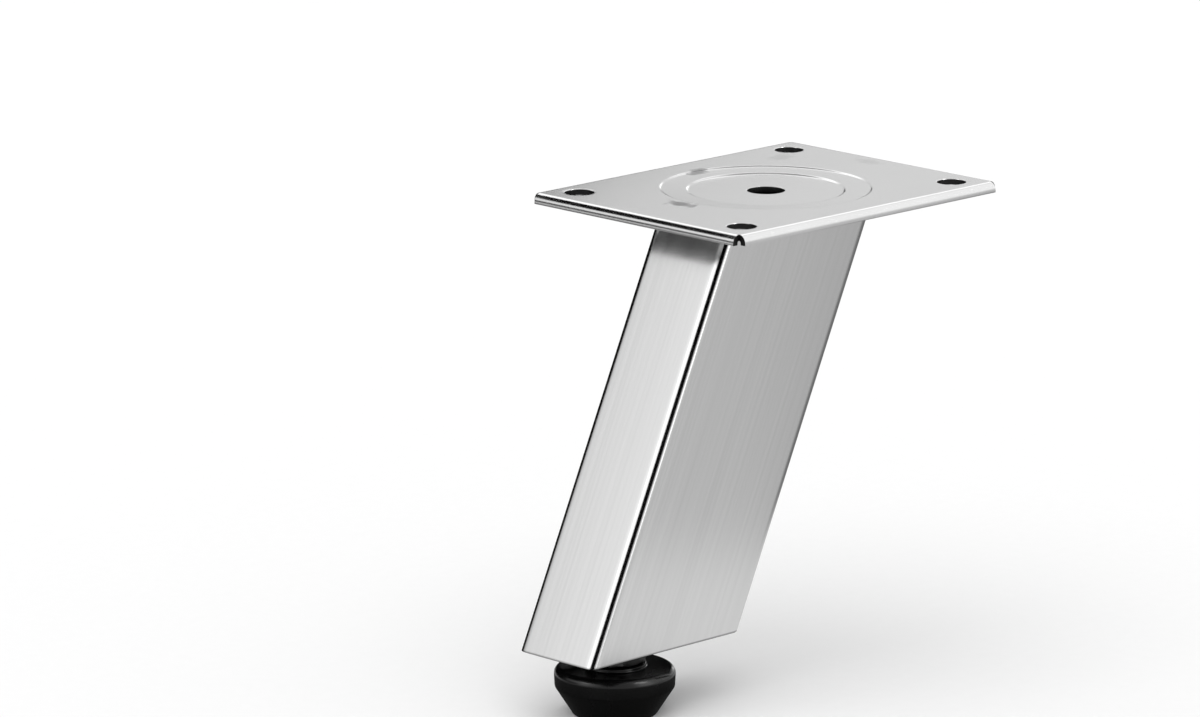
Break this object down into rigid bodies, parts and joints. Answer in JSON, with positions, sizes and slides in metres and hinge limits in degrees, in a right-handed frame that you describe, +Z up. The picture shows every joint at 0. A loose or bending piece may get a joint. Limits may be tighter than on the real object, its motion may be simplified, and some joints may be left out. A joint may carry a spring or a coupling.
{
  "type": "furniture leg",
  "caption": "Slanted rectangular steel furniture leg with a pressed mounting plate and a screw-in levelling foot.",
  "frame": {"origin": "centre of the mounting plate's top face, which is the centre of the four screw holes", "axes": "+Z up, out of the face that meets the furniture; X along the plate's long side, with the foot towards -X; Y across"},
  "size_m": [0.1158, 0.07, 0.12],
  "materials": {
    "plate_steel": "satin stainless sheet",
    "leg_steel": "stainless sheet brushed along the leg",
    "zinc_plated_steel": "bright zinc plating",
    "black_plastic": "moulded, satin"
  },
  "bodies": {
    "leg": {"mounting_plate": "plate_steel", "leg_shell": "leg_steel", "end_plate": "zinc_plated_steel", "weld_nut": "zinc_plated_steel"},
    "pad": {"foot_pad": "black_plastic"},
    "stud": {"levelling_stud": "zinc_plated_steel"}
  },
  "joints": [
    {"name": "foot_height", "type": "slide", "parent": "leg", "child": "pad", "axis": [0, 0, -1], "range_m": [-0.0025, 0.01]},
    {"name": "stud_turn", "type": "hinge", "parent": "pad", "child": "stud", "pos_m": [-0.0507, 0, -0.1], "axis": [0, 0, -1], "range_deg": [-720, 2880]}
  ],
  "couplings": [
    {"joint": "foot_height", "follows": "stud_turn", "m_per_rad": 0.00019894}
  ]
}
